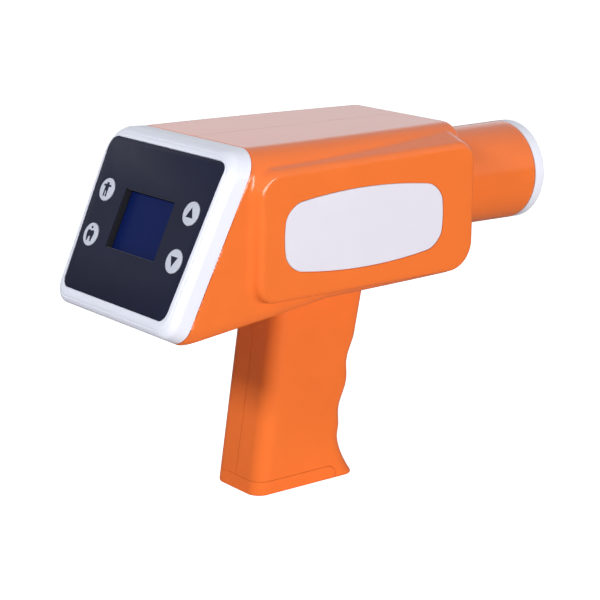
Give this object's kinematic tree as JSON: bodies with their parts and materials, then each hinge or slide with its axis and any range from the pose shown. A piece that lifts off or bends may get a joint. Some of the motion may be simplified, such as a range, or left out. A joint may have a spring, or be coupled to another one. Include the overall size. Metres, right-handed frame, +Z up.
{
  "type": "portable dental x-ray unit",
  "caption": "Pistol-shaped hand-held x-ray unit with sloping key panel, side pods, round beam cone and battery grip with hinged cap.",
  "frame": {"origin": "on the flat foot of the grip, in the middle plane of the unit", "axes": "+X the way the beam leaves the cone, +Y to the unit's left, +Z up along the grip"},
  "size_m": [0.2696, 0.1164, 0.1896],
  "materials": {
    "housing_orange": "gloss injection-moulded plastic",
    "trim_white": "gloss white plastic",
    "plate_white": "satin bare plate",
    "overlay_dark": "dark satin film",
    "window_clear": "clear gloss sheet",
    "display_blue": "dark blue liquid crystal display, off",
    "key_white": "satin plastic",
    "board_green": "solder resist on glass-fibre board",
    "plastic_black": "matt black plastic",
    "screw_steel": "zinc-plated steel",
    "head_aluminium": "machined aluminium",
    "collimator_lead": "dull cast lead",
    "tube_glass": "clear glass",
    "tube_copper": "turned copper",
    "core_ferrite": "dark ferrite",
    "winding_tape": "polyimide tape",
    "battery_wrap": "blue shrink wrap",
    "holder_plastic": "insulating plastic",
    "lead_red": "silicone insulation",
    "ribbon_grey": "grey flat cable"
  },
  "bodies": {
    "housing": {"right_shell": "housing_orange", "left_shell": "housing_orange", "beam_cone": "housing_orange", "control_bezel": "trim_white", "cone_ring": "trim_white", "right_label": "plate_white", "left_label": "plate_white", "panel_overlay": "overlay_dark", "display_window": "window_clear", "display_module": "display_blue", "control_board": "board_green", "driver_board": "board_green", "multiplier_board": "board_green", "patient_switch": "plastic_black", "tooth_switch": "plastic_black", "up_switch": "plastic_black", "down_switch": "plastic_black", "buzzer": "plastic_black", "battery_contacts": "plastic_black", "trigger_switch": "plastic_black", "charging_socket": "plastic_black", "housing_screw_1": "screw_steel", "housing_screw_2": "screw_steel", "housing_screw_3": "screw_steel", "housing_screw_4": "screw_steel", "housing_screw_5": "screw_steel", "housing_screw_6": "screw_steel", "board_screw_1": "screw_steel", "board_screw_2": "screw_steel", "board_screw_3": "screw_steel", "board_screw_4": "screw_steel", "lid_screw_1": "screw_steel", "lid_screw_2": "screw_steel", "lid_screw_3": "screw_steel", "lid_screw_4": "screw_steel", "driver_screw_1": "screw_steel", "driver_screw_2": "screw_steel", "cap_pin": "screw_steel", "trigger_spring": "screw_steel", "tube_cathode": "screw_steel", "tank_body": "head_aluminium", "tank_lid": "head_aluminium", "heat_sink": "head_aluminium", "port_filter": "head_aluminium", "lead_collimator": "collimator_lead", "xray_tube": "tube_glass", "tube_anode": "tube_copper", "transformer_core": "core_ferrite", "transformer_winding": "winding_tape", "battery_pack": "battery_wrap", "anode_holder": "holder_plastic", "cathode_holder": "holder_plastic", "battery_lead": "lead_red", "ribbon_cable": "ribbon_grey"},
    "patient_key_cap": {"patient_key": "key_white"},
    "tooth_key_cap": {"tooth_key": "key_white"},
    "up_key_cap": {"up_key": "key_white"},
    "down_key_cap": {"down_key": "key_white"},
    "trigger": {"exposure_trigger": "plastic_black"},
    "cap": {"battery_cap": "housing_orange"}
  },
  "joints": [
    {"name": "patient_key_press", "type": "slide", "parent": "housing", "child": "patient_key_cap", "axis": [0.907, 0, -0.421], "range_m": [0, 0.0006], "stiffness_N_per_m": 2000, "springref_m": -0.0004},
    {"name": "tooth_key_press", "type": "slide", "parent": "housing", "child": "tooth_key_cap", "axis": [0.907, 0, -0.421], "range_m": [0, 0.0006], "stiffness_N_per_m": 2000, "springref_m": -0.0004},
    {"name": "up_key_press", "type": "slide", "parent": "housing", "child": "up_key_cap", "axis": [0.907, 0, -0.421], "range_m": [0, 0.0006], "stiffness_N_per_m": 2000, "springref_m": -0.0004},
    {"name": "down_key_press", "type": "slide", "parent": "housing", "child": "down_key_cap", "axis": [0.907, 0, -0.421], "range_m": [0, 0.0006], "stiffness_N_per_m": 2000, "springref_m": -0.0004},
    {"name": "trigger_pull", "type": "slide", "parent": "housing", "child": "trigger", "axis": [-1, 0, 0], "range_m": [0, 0.0028], "stiffness_N_per_m": 1500, "springref_m": -0.001, "deforming": ["trigger_spring"]},
    {"name": "cap_hinge", "type": "hinge", "parent": "housing", "child": "cap", "pos_m": [0.0155, 0, 0.0022], "axis": [0, -1, 0], "range_deg": [0, 95]}
  ]
}
